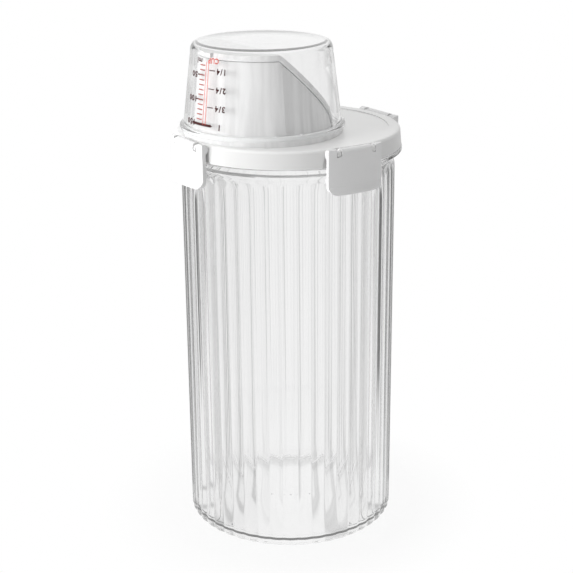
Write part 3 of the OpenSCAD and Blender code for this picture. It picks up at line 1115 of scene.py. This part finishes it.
@dataclass
class LidAssembly:
    """The lid, spout, flap, latches, pins and seals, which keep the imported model's shapes."""

    finishes: dict[Slots, Material]
    spout_white: Material

    def finish_of(self, node: str) -> Material:
        """The finish of one node."""
        if node in ("spout", "flap"):
            return self.spout_white
        if "pin" in node.split("_"):
            return self.finishes[Slots.STEEL]
        if node.startswith("latch"):
            return self.finishes[Slots.LATCH]
        if "gasket" in node or "seal" in node:
            return self.finishes[Slots.SILICONE]
        return self.finishes[Slots.WHITE]

    def build(self) -> None:
        """Gives its finish to every node but the jar and the cup, which clear mouldings replace."""
        for name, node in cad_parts.items():
            if name in ("container", "cup"):
                continue
            finish = self.finish_of(name)
            node.data.materials.clear()
            node.data.materials.append(finish)
            LOG.info("%s: finished with %s", name, finish.name)


# ---- studio


@dataclass(frozen=True)
class Camera:
    """The camera, where the photograph was taken from, in metres and radians."""

    place: Place = (0.0, -0.67266, 0.360)
    pitch_down: float = 0.336
    yaw: float = -0.002
    roll: float = -0.009
    focal_px: float = 1339.69
    picture_px: float = 573.0
    sensor: float = 36.0

    def build(self) -> None:
        """Puts the camera in its place."""
        data = bpy.data.cameras.new("camera")
        data.sensor_fit = "HORIZONTAL"
        data.sensor_width = self.sensor
        data.lens = self.focal_px / self.picture_px * self.sensor
        camera = bpy.data.objects.new("camera", data)
        ahead = Vector((
            math.sin(self.yaw) * math.cos(self.pitch_down),
            math.cos(self.yaw) * math.cos(self.pitch_down),
            -math.sin(self.pitch_down),
        ))
        side = Vector((math.cos(self.yaw), -math.sin(self.yaw), 0.0))
        up = side.cross(ahead)
        right = math.cos(self.roll) * side + math.sin(self.roll) * up
        top = math.cos(self.roll) * up - math.sin(self.roll) * side
        turn = Matrix((right, top, -ahead)).transposed().to_4x4()
        camera.matrix_world = Matrix.Translation(self.place) @ turn
        bpy.context.scene.collection.objects.link(camera)
        bpy.context.scene.camera = camera


@dataclass(frozen=True)
class Lamp:
    """A soft square lamp that looks at the middle of the jar, in metres and watts."""

    name: str
    place: Place
    size: float
    power: float
    target: Place = (0.0, 0.0, 0.16)

    def build(self) -> None:
        """Hangs the lamp, hidden from mirrored and refracted rays."""
        data = bpy.data.lights.new(self.name, "AREA")
        data.size = self.size
        data.energy = self.power
        lamp = bpy.data.objects.new(self.name, data)
        aim = Vector(self.target) - Vector(self.place)
        lamp.rotation_euler = aim.to_track_quat("-Z", "Y").to_euler()
        lamp.location = self.place
        lamp.visible_glossy = False
        lamp.visible_transmission = False
        bpy.context.scene.collection.objects.link(lamp)


@dataclass(frozen=True)
class Room:
    """A white sky for the eye and a softly shaded room for light and reflections."""

    ambient: float = 0.53
    side_from: float = 0.2
    side_gain: float = 1.6
    side_dim: float = 0.06
    wall_from: float = 0.35
    wall_gain: float = 1.8
    wall_dim: float = 0.7
    stripe_scale: float = 2.2
    fan_middle: float = 0.2

    def build(self) -> None:
        """Builds the world."""
        world = bpy.data.worlds.new("studio")
        bpy.context.scene.world = world
        world.use_nodes = True
        s = Builder(world.node_tree)
        x, y, _ = s.axes(s.node("ShaderNodeTexCoord").outputs["Generated"])
        stripes = s.stripes(x / (abs(y) + self.fan_middle), self.stripe_scale)
        dim = abs(x).ramp(self.side_from, self.side_gain, self.side_dim)
        dim = dim + stripes * abs(x).ramp(self.wall_from, self.wall_gain, self.wall_dim)
        room = s.node("ShaderNodeBackground", Strength=1.0, Color=s.mix(dim, grey(1.0), grey(0.0)))
        fill = s.node("ShaderNodeBackground", Strength=self.ambient, Color=grey(1.0))
        sky = s.node("ShaderNodeBackground", Strength=1.0, Color=grey(1.0))
        rays = s.node("ShaderNodeLightPath")
        near = s.blend(s.signal(rays, "Is Diffuse Ray"), room, fill)
        seen = s.blend(s.signal(rays, "Is Camera Ray"), near, sky)
        s.node("ShaderNodeOutputWorld", Surface=seen.outputs[0])


@dataclass(frozen=True)
class Floor:
    """A pale floor that keeps the jar's shadow. Sizes are in metres.

    Mirrored and refracted rays see a fan of uneven stripes on it instead, as a studio's
    surroundings would give. The fan runs out from the jar: its value is how far aside a
    point lies for each step ahead. Two darker flags stand in it, and it is calm far aside.
    """

    half: float = 1.6
    z: float = -0.0001
    tone: float = 0.8
    shadow_from: float = 0.07
    shadow_gain: float = 4.0
    glow: float = 0.86
    fan_middle: float = 0.08
    side_from: float = 0.12
    side_gain: float = 0.8
    side_dim: float = 0.06
    far_from: float = 2.5
    far_gain: float = 1.5
    far_dim: float = 0.25
    stripe_scale: float = 9.0
    stripe_squeeze: float = 0.8
    stripe_gain: float = 0.6
    stripe_low: float = 0.12
    stripe_dim: float = 0.65
    flag_at: float = 1.5
    flag_half: float = 0.24
    flag_dim: float = 0.75
    calm_from: float = 3.2
    calm_gain: float = 0.6
    calm_y: float = 0.045
    calm_y_gain: float = 14.0
    calm_keep: float = 1.6
    room_dim: float = 0.07
    darkest: float = 0.9

    def build(self) -> None:
        """Lays the floor and gives it its material."""
        corners = ((-1, -1), (1, -1), (1, 1), (-1, 1))
        points = [(x * self.half, y * self.half, self.z) for x, y in corners]
        mesh = bpy.data.meshes.new("floor")
        mesh.from_pydata(points, [], [(0, 1, 2, 3)])
        floor = bpy.data.objects.new("floor", mesh)
        bpy.context.scene.collection.objects.link(floor)
        mesh.materials.append(self.material())

    def material(self) -> Material:
        """Builds the floor's material."""
        material, s = new_material("pale_floor")
        x, y, _ = s.axes(s.place())
        matt = s.node("ShaderNodeBsdfDiffuse", Color=grey(self.tone))
        glow = s.node("ShaderNodeEmission", Strength=1.0, Color=grey(1.0))
        tone = s.mix(self.pattern(s, x, y), grey(1.0), grey(0.0))
        shaded = s.node("ShaderNodeEmission", Strength=1.0, Color=tone)
        rays = s.node("ShaderNodeLightPath")
        distance = (x * x + y * y).root()
        clear = distance.ramp(self.shadow_from, self.shadow_gain, 1.0 - self.glow) + self.glow
        through = (s.signal(rays, "Is Transmission Ray") + s.signal(rays, "Is Glossy Ray")).clamp()
        other = s.blend(through, matt, shaded)
        s.surface(s.blend(s.signal(rays, "Is Camera Ray"), other, s.blend(clear, matt, glow)))
        return material

    def pattern(self, s: Builder, x: Signal, y: Signal) -> Signal:
        """The darkness that mirrored and refracted rays see on the floor.

        Args:
            s: The builder of the floor's material.
            x: The place across the picture.
            y: The place along the line of sight.

        Returns:
            The darkness, 0 to 1.
        """
        fan = x / (abs(y) + self.fan_middle)
        wide = abs(fan)
        dim = wide.ramp(self.side_from, self.side_gain, self.side_dim)
        dim = dim + wide.ramp(self.far_from, self.far_gain, self.far_dim)
        stripe = s.stripes(fan / (wide * self.stripe_squeeze + 1.0), self.stripe_scale)
        depth = (wide * self.stripe_gain + self.stripe_low).clamp(0.0, self.stripe_dim)
        aside = (wide - self.flag_at) / self.flag_half
        flag = (1.0 - aside * aside).clamp(0.0, self.flag_dim)
        ahead = (abs(y).ramp(self.calm_y, self.calm_y_gain) + (self.calm_keep - wide).clamp()).clamp()
        near = ((self.calm_from - wide) * self.calm_gain + 1.0).clamp() * ahead
        return ((dim + stripe * depth + flag) * near + self.room_dim).clamp(0.0, self.darkest)


@dataclass(frozen=True)
class Studio:
    """Everything round the jar, built in this order."""

    parts: tuple[Union[Camera, Room, Floor, Lamp], ...] = (
        Camera(),
        Room(),
        Floor(),
        Lamp("key", (-0.90, -0.37, 0.43), 0.5, 8.2),
        Lamp("top", (-0.2, 0.3, 1.3), 0.8, 4.2),
    )

    def build(self) -> None:
        """Builds the studio and sets how its colours are shown."""
        bpy.context.scene.view_settings.view_transform = "Standard"
        for part in self.parts:
            part.build()


def main() -> None:
    """Builds the looks and reports each piece."""
    logging.basicConfig(level=logging.INFO, format="%(name)s %(message)s")
    clear = ClearPlastic("clear_plastic", grey(0.95)).build()
    cup_clear = ClearPlastic("cup_plastic", grey(0.94), index=1.49, roughness=0.02,
                             trapped=grey(0.3)).build()
    # The lid's side wall below its top edge carries a painted shade.
    white = MouldedPlastic("lid_white", (0.79, 0.79, 0.785), (0.725, 0.725, 0.721), 0.38,
                           painted_shade_below=0.2112, painted_shade_share=0.8).build()
    # The spout's steep walls carry painted reflection streaks.
    spout_white = MouldedPlastic("spout_white", grey(0.85), grey(0.71), 0.34, streaks=0.85).build()
    latch_white = MouldedPlastic("latch_white", grey(0.79), grey(0.76), 0.5, grain=1900.0,
                                 grain_depth=0.00004).build()
    red = Ink("red_ink", (0.62, 0.10, 0.08), (0.80, 0.30, 0.26)).build()
    brown = Ink("brown_ink", (0.34, 0.07, 0.06), (0.55, 0.20, 0.18)).build()
    dark = Ink("dark_ink", (0.05, 0.02, 0.02), (0.16, 0.06, 0.06)).build()
    Studio().build()
    finishes = {
        Slots.WHITE: white,
        Slots.LATCH: latch_white,
        Slots.SILICONE: Silicone().build(),
        Slots.STEEL: GroundSteel().build(),
    }
    LidAssembly(finishes, spout_white).build()
    Jar(clear).build()
    cup = MeasuringCup(cup_clear)
    cup.build()
    CupScale(cup, red, brown, dark).build()


if __name__ == "__main__":
    main()
